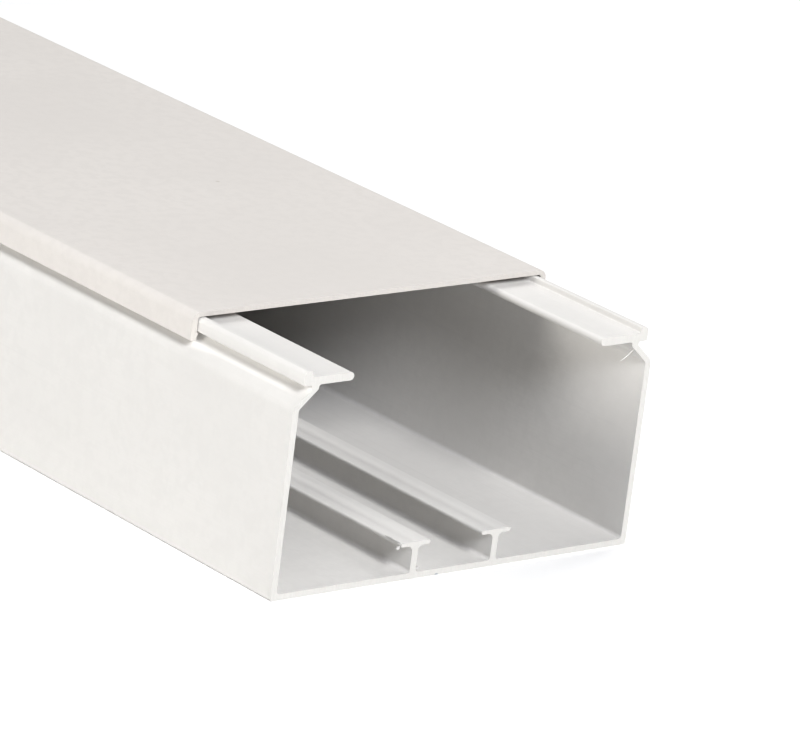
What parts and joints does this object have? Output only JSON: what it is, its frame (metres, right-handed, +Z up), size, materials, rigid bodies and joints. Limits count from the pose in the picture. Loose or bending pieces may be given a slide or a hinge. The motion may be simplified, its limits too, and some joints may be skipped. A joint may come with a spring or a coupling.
{
  "type": "cord cover raceway",
  "caption": "Straight length of white plastic cord cover raceway: an open channel with beaded inward flanges and T-shaped floor rails, closed by a cover that clips over the beads and slides along them.",
  "frame": {"origin": "middle of the base channel's underside, halfway along the base", "axes": "X across the width, +Y along the length away from the end where the cover is drawn back, +Z up from the floor of the channel to its cover"},
  "size_m": [0.1, 1.037, 0.0523],
  "materials": {
    "base_pvc": "white rigid PVC, satin, with fine lines along the extrusion and sawn ends",
    "cover_pvc": "white rigid PVC, satin, with fine lines along the extrusion and sawn ends"
  },
  "bodies": {
    "base": {"base_channel": "base_pvc"},
    "cover": {"cover": "cover_pvc"}
  },
  "joints": [
    {"name": "cover_slide", "type": "slide", "parent": "base", "child": "cover", "axis": [0, 1, 0], "range_m": [-0.037, 0.913]}
  ]
}
